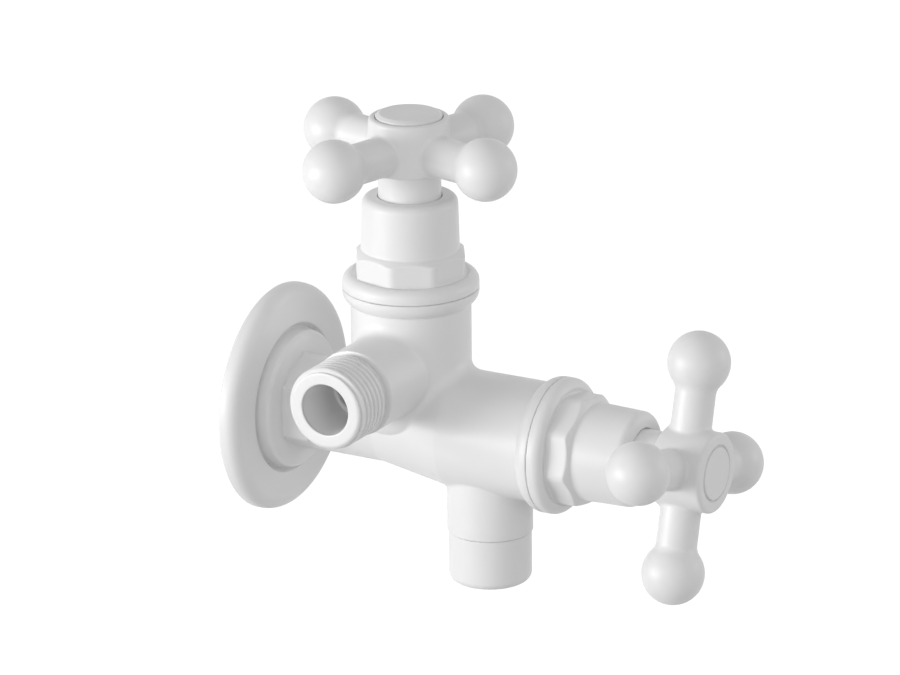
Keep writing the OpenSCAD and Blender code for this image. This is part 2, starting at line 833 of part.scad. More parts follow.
// Section of one arm with its ball and the hollow curve between them
module arm_section() {
    curve_x = arm_r + ball_fillet;
    reach = ball_r + ball_fillet;
    curve_y = arm_l - sqrt(reach * reach - curve_x * curve_x);
    square([arm_r, curve_y]);
    translate([0, arm_l]) intersection() {
        circle(ball_r);
        translate([0, -ball_r]) square([ball_r, ball_r + ball_r]);
    }
    difference() {
        polygon([[0, curve_y], [curve_x, curve_y], [0, arm_l]]);
        translate([curve_x, curve_y]) circle(ball_fillet);
    }
}

// Fillets at the roots of the arms, ending at the hub's underside
module arm_fillets() {
    intersection() {
        for (i = [0 : arm_count - 1])
            rotate([0, 0, i * 360 / arm_count])
                saddle_fillet(hub_r, arm_r, arm_fillet_top, arm_fillet_foot, -hub_r, 0);
        translate([0, 0, -hub_bottom])
            cylinder(r = hub_r + arm_fillet_top + over, h = hub_bottom + hub_top);
    }
}

// Cross handle: hub, neck, four arms with balls
module cross_handle() {
    color("white") translate([0, 0, handle_h]) rotate([0, 0, handle_turn]) difference() {
        union() {
            translate([0, 0, -hub_bottom]) rotate_extrude()
                round_edge_section(hub_r, 0, hub_top + hub_bottom, hub_round);
            translate([0, 0, neck_bottom - handle_h])
                cylinder(r = neck_r, h = handle_h - neck_bottom);
            for (i = [0 : arm_count - 1])
                rotate([0, 0, i * 360 / arm_count]) rotate([0, 90, 0])
                    rotate_extrude() arm_section();
            arm_fillets();
        }
        translate([0, 0, button_base]) cylinder(r = button_r + loose, h = button_seat + over);
        cylinder(r = screw_recess_r, h = hub_top);
        translate([0, 0, -hub_top - hub_bottom])
            cylinder(r = screw_r + loose, h = hub_top + hub_bottom + over);
        rotate([0, 0, -handle_turn]) translate([0, 0, neck_bottom - handle_h - over])
            translate([-square_w * half_share - running, -square_w * half_share - running, 0])
                cube([
                    square_w + running + running,
                    square_w + running + running,
                    square_top - neck_bottom + over + loose
                ]);
    }
}

// Screw that holds the handle on the spindle
module handle_screw() {
    slot_w = screw_r * half_share;
    color("silver") translate([0, 0, handle_h]) difference() {
        union() {
            cylinder(r = screw_head_r, h = screw_head_h);
            translate([0, 0, -screw_l]) cylinder(r = screw_r, h = screw_l + over);
        }
        translate([-screw_head_r, -slot_w * half_share, screw_head_h - slot_w])
            cube([screw_head_r + screw_head_r, slot_w, slot_w + over]);
    }
}

// Blank index button with a bevelled edge and a plug that grips the hub
module index_button() {
    plug_l = button_base - screw_head_h - loose;
    bevel = button_r - button_flat_r;
    color("white") translate([0, 0, handle_h]) rotate_extrude() difference() {
        polygon([
            [0, button_base - plug_l],
            [screw_recess_r - running, button_base - plug_l],
            [screw_recess_r - running, button_base],
            [button_r, button_base],
            [button_r, hub_top + button_rise - bevel * half_share],
            [button_flat_r, hub_top + button_rise],
            [0, hub_top + button_rise]
        ]);
        translate([0, button_base - plug_l - over])
            square([screw_head_r, plug_l + over]);
    }
}

module upper_bonnet() { at_upper() bonnet(upper_octagon_turn); }
module upper_bonnet_gasket() { at_upper() bonnet_gasket(); }
module upper_spindle() { at_upper() spindle(); }
module upper_spindle_rings() { at_upper() spindle_rings(); }
module upper_jumper_valve() { at_upper() jumper_valve(); }
module upper_jumper_washer() { at_upper() jumper_washer(); }
module upper_jumper_nut() { at_upper() jumper_nut(); }
module upper_handle() { at_upper() cross_handle(); }
module upper_handle_screw() { at_upper() handle_screw(); }
module upper_index_button() { at_upper() index_button(); }

module front_bonnet() { at_front() bonnet(front_octagon_turn); }
module front_bonnet_gasket() { at_front() bonnet_gasket(); }
module front_spindle() { at_front() spindle(); }
module front_spindle_rings() { at_front() spindle_rings(); }
module front_jumper_valve() { at_front() jumper_valve(); }
module front_jumper_washer() { at_front() jumper_washer(); }
module front_jumper_nut() { at_front() jumper_nut(); }
module front_handle() { at_front() cross_handle(); }
module front_handle_screw() { at_front() handle_screw(); }
module front_index_button() { at_front() index_button(); }

valve_body();
wall_flange();
outlet_sleeve();
sleeve_washer();
stream_insert();
outlet_mesh();
upper_bonnet();
upper_bonnet_gasket();
upper_spindle();
upper_spindle_rings();
upper_jumper_valve();
upper_jumper_washer();
upper_jumper_nut();
upper_handle();
upper_handle_screw();
upper_index_button();
front_bonnet();
front_bonnet_gasket();
front_spindle();
front_spindle_rings();
front_jumper_valve();
front_jumper_washer();
front_jumper_nut();
front_handle();
front_handle_screw();
front_index_button();
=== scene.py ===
"""Looks of a two way angle cock in white plastic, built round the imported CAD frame.

The moulded pieces are meshed from distance fields, so that their fillets and soft
edges are real surfaces. Lengths are in millimetres and repeat those of the CAD
source, apart from a few small forms that follow the photograph more closely, such
as the boss of the wall flange and the slope of the bonnets' octagons. Meshes,
lamps and the camera are in metres.
"""

import json
import math

import bpy
import numpy as np
from mathutils import Matrix, Vector


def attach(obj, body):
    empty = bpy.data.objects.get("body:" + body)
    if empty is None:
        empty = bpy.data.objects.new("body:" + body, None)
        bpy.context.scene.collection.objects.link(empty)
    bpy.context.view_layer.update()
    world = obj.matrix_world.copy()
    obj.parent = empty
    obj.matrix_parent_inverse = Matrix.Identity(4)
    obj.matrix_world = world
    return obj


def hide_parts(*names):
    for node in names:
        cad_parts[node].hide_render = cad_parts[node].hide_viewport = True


MM = 0.001

# Body
COLUMN_Y = 39.5
COLUMN_TOP = 35.2
COLUMN_FOOT = 4.5
COLUMN_FOOT_ROUND = 6.0
BARREL_FRONT = 81.0
SHELL_R = 15.05
WAIST_R = 11.8
WAIST_END = 34.0
BELLY_END = 54.0
RIM_R = 17.1
RIM_BAND = 0.8
RIM_ROUND = 3.4
RIM_GAP = 0.06
SHANK_R = 11.2
VALLEY_FILLET = 3.0
STUB_FILLET = 1.2
SIDE_FILLET_TOP = 2.5
SIDE_FILLET_FOOT = 1.0
BODY_EDGE_ROUND = 0.25

# Hexagon behind the column
HEX_SIDES = 6
HEX_START = 8.2
HEX_L = 7.5
HEX_CORNER_R = 13.15
HEX_TURNED_R = 12.95
HEX_TURN = 30
HEX_CORNER_ROUND = 0.45
HEX_EDGE_ROUND = 0.4
HEX_FILLET = 0.5

# Outlets and waterways
SIDE_Z = 15.63
SIDE_TIP = 42.8
NECK_R = 10.9
NECK_END = 28.7
RELIEF_R = 9.1
RELIEF_START = 29.1
RELIEF_END = 29.7
LOWER_Y = 61.6
STUB_R = 10.75
STUB_END = 25.3
SLEEVE_THREAD_R = 9.0
SLEEVE_THREAD_END = 32.0
BORE_R = 6.5
LOWER_BORE_R = 7.0
LEDGE_R = 5.6
LEDGE_DEPTH = 15.5
SEAT_HOLE_R = 5.0
SEAT_DEPTH = 26.0
LIP_R = 6.2
LIP_H = 1.0
CHAMBER_R = 11.2
THREAD_DEPTH = 13.0
THREAD_BORE_R = 12.45
GASKET_RECESS_R = 15.55
GASKET_H = 1.2
BEHIND_SEAT = 2
PAST_FACE = 3

# Pipe threads, and the core that carries them
INLET_L = 10.5
COLLAR_W = 1.0
CREST_R = 10.4775
ROOT_R = 9.3155
PITCH = 1.8143
CREST_FLAT = 0.3
CREST_SHARPNESS = 3
CREST_SHARE = 0.4
TIP_R = 9.4
TIP_LIP = 0.2
CHAMFER = 1.2
CORE_R = 8.8
CORE_RAMP = 0.3
CORE_SHORT = 0.6
TUBE_SINK = 0.2
TUBE_DEPTH = 0.8
TUBE_SIDES = 128
RINGS_PER_PITCH = 14
LAST_RING_GAP = 0.1

# Bonnets
SHANK_L = 12.0
SHANK_OVERLAP = 1
BONNET_SHANK_R = 12.4
FLANGE_H = 3.6
FLANGE_ROUND = 2.3
FLANGE_DIP = 0.3
OCTAGON_SIDES = 8
OCTAGON_R = 14.5
OCTAGON_CORNER_R = 14.15
OCTAGON_LIMIT_GAP = 0.1
OCTAGON_FOOT_Z = 1.5
OCTAGON_SLOPE_Z = 8.6
OCTAGON_TOP = 9.8
OCTAGON_SHOULDER = 0.2
OCTAGON_CORNER_ROUND = 0.7
OCTAGON_EDGE_ROUND = 0.2
OCTAGON_FILLET = 0.35
UPPER_OCTAGON_TURN = 9
FRONT_OCTAGON_TURN = 14
DOME_FOOT_R = 12.5
DOME_R = 12.0
DOME_TOP = 23.5
DOME_ROUND = 2.0
DOME_FILLET = 0.45
SPINDLE_BORE_R = 6.05
SPINDLE_BORE_TOP = 1.5
STEM_BORE_R = 4.55
NECK_SEAT_Z = 13.9
NECK_BORE_R = 7.9
NECK_BORE_GAP = 0.1
BONNET_EDGE_ROUND = 0.25

# Wall flange
DISC_R = 29.0
DISC_H = 5.3
DISC_ROUND = 3.4
DISC_BEVEL = 0.6
DISC_BORE_R = 11.25
DISC_WALL = 2.3
DISC_EDGE_ROUND = 0.2
BOSS_R = 17.9
BOSS_TOP = 8.5
BOSS_SLOPE = 1.2
BOSS_SHOULDER_LOW = 1.2
BOSS_SHOULDER_HIGH = 0.5
BOSS_GROOVE = 1.5
GROOVE_TOP_W = 1.3
GROOVE_FLOOR_W = 0.3

# Outlet sleeve
SLEEVE_R = 10.4
SLEEVE_END = 38.5
SLEEVE_ROUND = 2.0
SLEEVE_BORE_R = 9.05
SLEEVE_GAP = 0.06
SLEEVE_LIP_R = 7.8
SLEEVE_LIP_H = 1.2
SLEEVE_EDGE_ROUND = 0.15

# Handles
HANDLE_H = 35.4
HANDLE_TURN = -15
HANDLE_NECK_R = 7.85
HANDLE_NECK_GAP = 0.5
HANDLE_NECK_FILLET = 0.4
ARM_L = 26.1
ARM_R = 5.1
ARM_PAST_MIDDLE = 2
ARM_FILLET = 1.0
BALL_R = 7.85
BALL_FILLET = 3.5
BALL_POINTS = 40
HUB_R = 10.1
HUB_TOP = 8.4
HUB_BOTTOM = 5.3
HUB_ROUND = 0.9
HUB_FOOT_ROUND = 0.5

# Buttons and their recess
SCREW_RECESS_R = 4.5
BUTTON_RECESS_R = 8.45
BUTTON_RECESS_Z = 6.4
RECESS_EDGE_ROUND = 0.3
BUTTON_R = 8.3
BUTTON_FLAT_R = 7.3
BUTTON_RISE = 0.9
BUTTON_EDGE_ROUND = 0.1
PLUG_R = 4.45
PLUG_LOW = 2.75
PLUG_MIDDLE = 5
PLUG_BORE_R = 3.6
FLUSH_RISE = 0.2
RING_R = 6.85
RING_W = 0.3
RING_DEPTH = 0.5
COVER_W = 0.6
COVER_RISE = 0.03

# Softness of the edges of turned forms, from the sleeve to the arms
SLEEVE_SOFT = 0.05
CAP_SOFT = 0.07
CRISP_SOFT = 0.1
EDGE_SOFT = 0.12
ROUND_SOFT = 0.15
ARM_SOFT = 0.2

# Low corner, high corner and step of the grid that each moulded piece is meshed on.
# The hidden side wall of the front button's cap reaches 0.05 mm past its grid, which
# leaves it open in four places inside the hub.
BODY_GRID = ((-43.5, -82, -33), (18, 11, 36), 0.4)
HANDLE_GRID = ((-35, -35, -22), (35, 35, 9), 0.4)
BONNET_GRID = ((-18, -18, -13), (18, 18, 24), 0.35)
BUTTON_GRID = ((-9, -9, 2), (9, 9, 10), 0.2)
DISC_GRID = ((-30, -30, -1), (30, 30, 9), 0.4)
SLEEVE_GRID = ((-11, -11, 24), (11, 11, 39.5), 0.3)

# Meshing. A blend of some width makes a fillet of this share of it at a right angle.
FILLET_SHARE = 0.85
LEAST_BLEND = 0.05
LEAST_PRODUCT = 1.0
LEAST_LENGTH = 1e-9
NORMAL_REACH = 0.05
BLUR_REACH = 3
LAYERS_AT_ONCE = 16
EVENING_ROUNDS = 3
DRAWING_ROUNDS = 2

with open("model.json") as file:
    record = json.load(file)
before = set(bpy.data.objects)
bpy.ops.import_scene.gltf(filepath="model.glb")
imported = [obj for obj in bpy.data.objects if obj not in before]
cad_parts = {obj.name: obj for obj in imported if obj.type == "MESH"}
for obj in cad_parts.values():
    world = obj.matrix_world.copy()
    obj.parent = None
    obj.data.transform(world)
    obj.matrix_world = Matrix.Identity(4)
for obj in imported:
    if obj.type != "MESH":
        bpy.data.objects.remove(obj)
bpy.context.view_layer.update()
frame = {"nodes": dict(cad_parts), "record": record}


def arc(x, y, radius, start, end, count=12):
    """Points of an arc in a profile, angles in degrees from its first axis."""
    turns = np.radians(np.linspace(start, end, count))
    return [(x + radius * math.cos(t), y + radius * math.sin(t)) for t in turns]


def polygon_distance(points, x, y):
    """Signed distance of the points (x, y) from a closed polygon, negative inside."""
    nearest = np.full(x.shape, np.inf)
    inside = np.zeros(x.shape, bool)
    for (ax, ay), (bx, by) in zip(points, points[1:] + points[:1]):
        ex, ey = bx - ax, by - ay
        length = ex * ex + ey * ey
        if length == 0:
            continue
        share = np.clip(((x - ax) * ex + (y - ay) * ey) / length, 0, 1)
        gap = np.hypot(x - ax - share * ex, y - ay - share * ey)
        nearest = np.minimum(nearest, gap)
        if ey != 0:
            crosses = (ay > y) != (by > y)
            inside ^= crosses & (x < ax + (y - ay) * ex / ey)
    return np.where(inside, -nearest, nearest)


def blurred(table, sigma):
    """The table after a Gaussian blur, sigma in cells: it rounds every corner."""
    reach = math.ceil(BLUR_REACH * sigma)
    kernel = np.exp(-0.5 * (np.arange(-reach, reach + 1) / sigma) ** 2)
    kernel /= kernel.sum()
    for axis, size in enumerate(table.shape):
        pad = [(0, 0), (0, 0)]
        pad[axis] = (reach, reach)
        wide = np.pad(table, pad, mode="edge")
        table = sum(
            weight * np.take(wide, range(i, i + size), axis=axis)
            for i, weight in enumerate(kernel)
        )
    return table


class Lathe:
    """Distance field of a turned solid, from its half profile of (radius, along)."""

    CELL = 0.1
    MARGIN = 4.0
    BEYOND_AXIS = 4
    LAST_CELL = 1.001

    def __init__(self, profile, soft):
        mirrored = [(-r, a) for r, a in reversed(profile)]
        beyond = math.ceil(self.BEYOND_AXIS * soft / self.CELL)
        self.low = min(a for _, a in profile) - self.MARGIN
        top_r = max(r for r, _ in profile) + self.MARGIN
        top_a = max(a for _, a in profile) + self.MARGIN
        radii = np.arange(-beyond, top_r / self.CELL) * self.CELL
        heights = np.arange(self.low, top_a, self.CELL)
        grid = np.meshgrid(radii, heights, indexing="ij")
        table = polygon_distance(profile + mirrored, *grid)
        self.table = blurred(table, soft / self.CELL)[beyond:].astype(np.float32)

    def __call__(self, radius, along):
        u, v = radius / self.CELL, (along - self.low) / self.CELL
        rows, columns = self.table.shape
        uc = np.clip(u, 0, rows - self.LAST_CELL)
        vc = np.clip(v, 0, columns - self.LAST_CELL)
        i, j = uc.astype(np.int32), vc.astype(np.int32)
        fu, fv = uc - i, vc - j
        near = self.table[i, j] * (1 - fv) + self.table[i, j + 1] * fv
        far = self.table[i + 1, j] * (1 - fv) + self.table[i + 1, j + 1] * fv
        return near * (1 - fu) + far * fu + self.CELL * np.hypot(u - uc, v - vc)


def join(a, b, fillet, alike=0):
    """Union of two fields with a fillet, which shrinks where their normals agree."""
    k = np.maximum(fillet / FILLET_SHARE * (1 - alike), LEAST_BLEND)
    h = np.maximum(k - np.abs(a - b), 0) / k
    return np.minimum(a, b) - h * h * k / 4


def meet(a, b, rounding):
    """Intersection of two fields with a rounded edge."""
    return -join(-a, -b, rounding)


def cut(a, b, rounding):
    """The first field less the second, with a rounded edge."""
    return -join(-a, b, rounding)


def prism(u, v, sides, corner_r, turn, rounding):
    """Field of a regular prism's outline with rounded corners, one at the turn."""
    sector = 2 * math.pi / sides
    angle = (np.arctan2(v, u) - math.radians(turn)) % sector - sector / 2
    radius = np.hypot(u, v)
    p, q = radius * np.cos(angle), np.abs(radius * np.sin(angle))
    inner = corner_r * math.cos(sector / 2) - rounding
    over = np.maximum(q - inner * math.tan(sector / 2), 0)
    rounded = np.hypot(np.maximum(p - inner, 0), over)
    return rounded + np.minimum(p - inner, 0) - rounding


def surface(field, low, high, step):
    """Vertices and quads of a field's zero surface on a grid."""
    axes = [np.arange(a, b + step, step, dtype=np.float32) for a, b in zip(low, high)]
    values = np.empty([len(a) for a in axes], np.float32)
    for start in range(0, len(axes[0]), LAYERS_AT_ONCE):
        part = slice(start, start + LAYERS_AT_ONCE)
        values[part] = field(*np.meshgrid(axes[0][part], *axes[1:], indexing="ij"))
    cells = [len(a) - 1 for a in axes]
    corners = [(a, b, c) for a in (0, 1) for b in (0, 1) for c in (0, 1)]
    count = np.zeros(cells, np.int8)
    for corner in corners:
        part = tuple(slice(c, c + n) for c, n in zip(corner, cells))
        count += values[part] < 0
    cell = np.argwhere((count > 0) & (count < len(corners)))
    index = np.full(cells, -1, np.int32)
    index[tuple(cell.T)] = np.arange(len(cell))
    at = {c: values[tuple((cell + c).T)] for c in corners}
    total, hits = np.zeros((len(cell), 3)), np.zeros(len(cell))
    for corner in corners:
        for axis in (a for a in range(3) if corner[a] == 0):
            other = tuple(1 if a == axis else c for a, c in enumerate(corner))
            crosses = (at[corner] < 0) != (at[other] < 0)
            point = np.tile(np.array(corner, float), (len(cell), 1))
            point[:, axis] = at[corner] / np.where(crosses, at[corner] - at[other], 1)
            total[crosses] += point[crosses]
            hits[crosses] += 1
    points = (cell + total / hits[:, None]) * step + np.array(low)
    quads = []
    for axis in range(3):
        b, c = (axis + 1) % 3, (axis + 2) % 3
        inside = np.moveaxis(values < 0, axis, 0)
        edge = np.argwhere(np.moveaxis(inside[:-1] != inside[1:], 0, axis))
        edge = edge[(edge[:, b] > 0) & (edge[:, c] > 0)]
        edge = edge[(edge[:, b] < cells[b]) & (edge[:, c] < cells[c])]
        ring = []
        for down_b, down_c in ((1, 1), (0, 1), (0, 0), (1, 0)):
            beside = edge.copy()
            beside[:, b] -= down_b
            beside[:, c] -= down_c
            ring.append(index[tuple(beside.T)])
        quad = np.stack(ring, 1)
        outward = values[tuple(edge.T)] < 0
        quad[~outward] = quad[~outward][:, ::-1]
        quads.append(quad)
    return points, np.concatenate(quads)


def normals_of(field, points):
    """Unit normals of a field at the points."""
    normal = np.empty_like(points)
    for axis in range(3):
        ahead, behind = points.copy(), points.copy()
        ahead[:, axis] += NORMAL_REACH
        behind[:, axis] -= NORMAL_REACH
        normal[:, axis] = field(*ahead.T) - field(*behind.T)
    return normal / np.maximum(np.linalg.norm(normal, axis=1), LEAST_LENGTH)[:, None]


def moulded(field, low, high, step):
    """Points, quads and normals of a field's surface, evened out and drawn onto it."""
    points, quads = surface(field, low, high, step)
    for _ in range(EVENING_ROUNDS):
        total, hits = np.zeros_like(points), np.zeros(len(points))
        for a, b in ((0, 1), (1, 2), (2, 3), (3, 0)):
            for first, second in ((a, b), (b, a)):
                for axis in range(3):
                    total[:, axis] += np.bincount(
                        quads[:, first], points[quads[:, second], axis], len(points)
                    )
                hits += np.bincount(quads[:, first], minlength=len(points))
        shift = (total / np.maximum(hits, 1)[:, None] - points) / 2
        normal = normals_of(field, points)
        points = points + shift - normal * np.sum(shift * normal, axis=1)[:, None]
        for _ in range(DRAWING_ROUNDS):
            gap = np.clip(field(*points.T), -step / 2, step / 2)
            points = points - normals_of(field, points) * gap[:, None]
    return points, quads, normals_of(field, points)


def rim_outline(top):
    """Outer points of a rim, from the shell up to its face."""
    rise = math.degrees(math.acos((SHELL_R - RIM_R + RIM_ROUND) / RIM_ROUND))
    foot = arc(RIM_R - RIM_ROUND, top - RIM_BAND, RIM_ROUND, -rise, 0)
    return foot + [(RIM_R, top - RIM_GAP), (0, top - RIM_GAP)]


BARREL = Lathe(
    [
        (0, CORE_SHORT - INLET_L),
        (CORE_R, CORE_SHORT - INLET_L),
        (CORE_R, -COLLAR_W),
        (CREST_R, -COLLAR_W),
        (CREST_R, 0),
        (SHANK_R, 0),
        (SHANK_R, HEX_START),
        (WAIST_R, HEX_START),
        (WAIST_R, WAIST_END),
        (SHELL_R, BELLY_END),
    ]
    + rim_outline(BARREL_FRONT),
    soft=CRISP_SOFT,
)
COLUMN = Lathe(
    [(0, COLUMN_FOOT - COLUMN_FOOT_ROUND)]
    + arc(SHELL_R - COLUMN_FOOT_ROUND, COLUMN_FOOT, COLUMN_FOOT_ROUND, -90, 0)
    + rim_outline(COLUMN_TOP),
    soft=CRISP_SOFT,
)
SIDE = Lathe(
    [
        (0, 0),
        (NECK_R, 0),
        (NECK_R, NECK_END),
        (RELIEF_R, RELIEF_START),
        (RELIEF_R, RELIEF_END),
        (CORE_R, RELIEF_END + CORE_RAMP),
        (CORE_R, SIDE_TIP - CORE_SHORT),
        (0, SIDE_TIP - CORE_SHORT),
    ],
    soft=EDGE_SOFT,
)
STUB = Lathe(
    [
        (0, 0),
        (STUB_R, 0),
        (STUB_R, STUB_END),
        (SLEEVE_THREAD_R, STUB_END),
        (SLEEVE_THREAD_R, SLEEVE_THREAD_END),
        (0, SLEEVE_THREAD_END),
    ],
    soft=EDGE_SOFT,
)
VALVE_SPACE = Lathe(
    [
        (0, -COLUMN_TOP),
        (SEAT_HOLE_R, -COLUMN_TOP),
        (SEAT_HOLE_R, -SEAT_DEPTH),
        (LIP_R, -SEAT_DEPTH),
        (LIP_R, -SEAT_DEPTH - LIP_H),
        (CHAMBER_R, -SEAT_DEPTH - LIP_H),
        (CHAMBER_R, -THREAD_DEPTH),
        (THREAD_BORE_R, -THREAD_DEPTH),
        (THREAD_BORE_R, -GASKET_H),
        (GASKET_RECESS_R, -GASKET_H),
        (GASKET_RECESS_R, PAST_FACE),
        (0, PAST_FACE),
    ],
    soft=CRISP_SOFT,
)
SIDE_BORE = Lathe(
    [
        (0, 0),
        (LEDGE_R, 0),
        (LEDGE_R, SIDE_TIP - LEDGE_DEPTH),
        (BORE_R, SIDE_TIP - LEDGE_DEPTH),
        (BORE_R, SIDE_TIP + PAST_FACE),
        (0, SIDE_TIP + PAST_FACE),
    ],
    soft=EDGE_SOFT,
)


def likeness(product, radii_product):
    """How far two tubes' normals agree, from 0 to 1."""
    return np.clip(product / np.maximum(radii_product, LEAST_PRODUCT), 0, 1)


def body_field(x, y, z):
    """The moulded body without its pipe threads."""
    across_y, across_z = y + COLUMN_Y, z - SIDE_Z
    barrel_r, column_r = np.hypot(x, z), np.hypot(x, across_y)
    side_r, stub_r = np.hypot(across_y, across_z), np.hypot(x, y + LOWER_Y)
    shell = join(
        BARREL(barrel_r, -y),
        COLUMN(column_r, z),
        VALLEY_FILLET,
        likeness(x * x, barrel_r * column_r),
    )
    swing = (1 + across_z / np.maximum(side_r, LEAST_PRODUCT)) / 2
    shell = join(
        shell,
        SIDE(side_r, -x),
        SIDE_FILLET_FOOT + (SIDE_FILLET_TOP - SIDE_FILLET_FOOT) * np.clip(swing, 0, 1) ** 2,
        likeness(across_y**2, side_r * column_r),
    )
    shell = join(
        shell,
        STUB(stub_r, -z),
        STUB_FILLET,
        likeness(x * x, stub_r * barrel_r),
    )
    hexagon = meet(
        prism(x, z, HEX_SIDES, HEX_CORNER_R, HEX_TURN, HEX_CORNER_ROUND),
        np.maximum(
            np.abs(-y - HEX_START - HEX_L / 2) - HEX_L / 2, barrel_r - HEX_TURNED_R
        ),
        HEX_EDGE_ROUND,
    )
    shell = join(shell, hexagon, HEX_FILLET)
    end_y = BARREL_FRONT - SEAT_DEPTH - LIP_H - BEHIND_SEAT
    hollow = np.minimum(
        np.maximum(barrel_r - BORE_R, -y - end_y), VALVE_SPACE(column_r, z - COLUMN_TOP)
    )
    hollow = np.minimum(hollow, VALVE_SPACE(barrel_r, -y - BARREL_FRONT))
    hollow = np.minimum(hollow, SIDE_BORE(side_r, -x))
    hollow = np.minimum(hollow, np.maximum(stub_r - LOWER_BORE_R, z))
    return cut(shell, hollow, BODY_EDGE_ROUND)


BONNET_FLANGE = Lathe(
    [(0, 0), (RIM_R, 0)]
    + arc(RIM_R - FLANGE_ROUND, FLANGE_H - FLANGE_ROUND, FLANGE_ROUND, 0, 90)
    + [(OCTAGON_CORNER_R, FLANGE_H - FLANGE_DIP), (0, FLANGE_H - FLANGE_DIP)],
    soft=CRISP_SOFT,
)
DOME = Lathe(
    [(0, 0), (DOME_FOOT_R, FLANGE_H / 2), (DOME_R, DOME_TOP - DOME_ROUND)]
    + arc(DOME_R - DOME_ROUND, DOME_TOP - DOME_ROUND, DOME_ROUND, 0, 90)
    + [(0, DOME_TOP)],
    soft=ROUND_SOFT,
)
OCTAGON_LIMIT = Lathe(
    [
        (0, OCTAGON_FOOT_Z),
        (OCTAGON_CORNER_R + OCTAGON_LIMIT_GAP, OCTAGON_FOOT_Z),
        (OCTAGON_CORNER_R + OCTAGON_LIMIT_GAP, OCTAGON_SLOPE_Z),
        (DOME_FOOT_R + OCTAGON_SHOULDER, OCTAGON_TOP),
        (0, OCTAGON_TOP),
    ],
    soft=EDGE_SOFT,
)
BONNET_SHANK = Lathe(
    [
        (0, -SHANK_L),
        (BONNET_SHANK_R, -SHANK_L),
        (BONNET_SHANK_R, SHANK_OVERLAP),
        (0, SHANK_OVERLAP),
    ],
    soft=EDGE_SOFT,
)
BONNET_BORE = Lathe(
    [
        (0, -SHANK_L - PAST_FACE),
        (SPINDLE_BORE_R, -SHANK_L - PAST_FACE),
        (SPINDLE_BORE_R, SPINDLE_BORE_TOP),
        (STEM_BORE_R, SPINDLE_BORE_TOP),
        (STEM_BORE_R, NECK_SEAT_Z),
        (NECK_BORE_R + NECK_BORE_GAP, NECK_SEAT_Z),
        (NECK_BORE_R + NECK_BORE_GAP, DOME_TOP + PAST_FACE),
        (0, DOME_TOP + PAST_FACE),
    ],
    soft=CRISP_SOFT,
)


def bonnet_field(turn):
    """Field of a bonnet whose octagon is turned by so many degrees."""

    def field(x, y, z):
        r = np.hypot(x, y)
        octagon = meet(
            prism(x, y, OCTAGON_SIDES, OCTAGON_R, turn, OCTAGON_CORNER_ROUND),
            OCTAGON_LIMIT(r, z),
            OCTAGON_EDGE_ROUND,
        )
        solid = join(BONNET_FLANGE(r, z), octagon, OCTAGON_FILLET)
        solid = join(solid, DOME(r, z), DOME_FILLET)
        solid = np.minimum(solid, BONNET_SHANK(r, z))
        return cut(solid, BONNET_BORE(r, z), BONNET_EDGE_ROUND)

    return field


def arm_outline():
    """Half profile of an arm with its ball and the hollow curve between them."""
    curve_x, reach = ARM_R + BALL_FILLET, BALL_R + BALL_FILLET
    rise = math.sqrt(reach * reach - curve_x * curve_x)
    touch = math.degrees(math.atan2(rise, curve_x))
    curve = arc(curve_x, ARM_L - rise, BALL_FILLET, 180, 180 - touch)
    ball = arc(0, ARM_L, BALL_R, -touch, 90, BALL_POINTS)
    return [(0, -ARM_PAST_MIDDLE), (ARM_R, -ARM_PAST_MIDDLE)] + curve + ball


HUB = Lathe(
    [(0, -HUB_BOTTOM), (HUB_R, -HUB_BOTTOM)]
    + arc(HUB_R - HUB_ROUND, HUB_TOP - HUB_ROUND, HUB_ROUND, 0, 90)
    + [(0, HUB_TOP)],
    soft=ROUND_SOFT,
)
HANDLE_NECK = Lathe(
    [
        (0, NECK_SEAT_Z + HANDLE_NECK_GAP - HANDLE_H),
        (HANDLE_NECK_R, NECK_SEAT_Z + HANDLE_NECK_GAP - HANDLE_H),
        (HANDLE_NECK_R, 0),
        (0, 0),
    ],
    soft=EDGE_SOFT,
)
ARM = Lathe(arm_outline(), soft=ARM_SOFT)
BUTTON_RECESS = Lathe(
    [
        (0, 0),
        (SCREW_RECESS_R, 0),
        (SCREW_RECESS_R, BUTTON_RECESS_Z),
        (BUTTON_RECESS_R, BUTTON_RECESS_Z),
        (BUTTON_RECESS_R, HUB_TOP + PAST_FACE),
        (0, HUB_TOP + PAST_FACE),
    ],
    soft=CRISP_SOFT,
)


def handle_field(x, y, z):
    """A cross handle about the crossing of its arms, before its turn."""
    r = np.hypot(x, y)
    along = np.maximum(np.abs(x), np.abs(y))
    across = np.minimum(np.abs(x), np.abs(y))
    arm_r = np.hypot(across, z)
    alike = likeness(across**2, arm_r * r)
    solid = join(HUB(r, z), ARM(arm_r, along), ARM_FILLET, alike)
    solid = meet(solid, np.minimum(-z - HUB_BOTTOM, HUB_R + ARM_R - r), HUB_FOOT_ROUND)
    solid = join(solid, HANDLE_NECK(r, z), HANDLE_NECK_FILLET)
    return cut(solid, BUTTON_RECESS(r, z), RECESS_EDGE_ROUND)


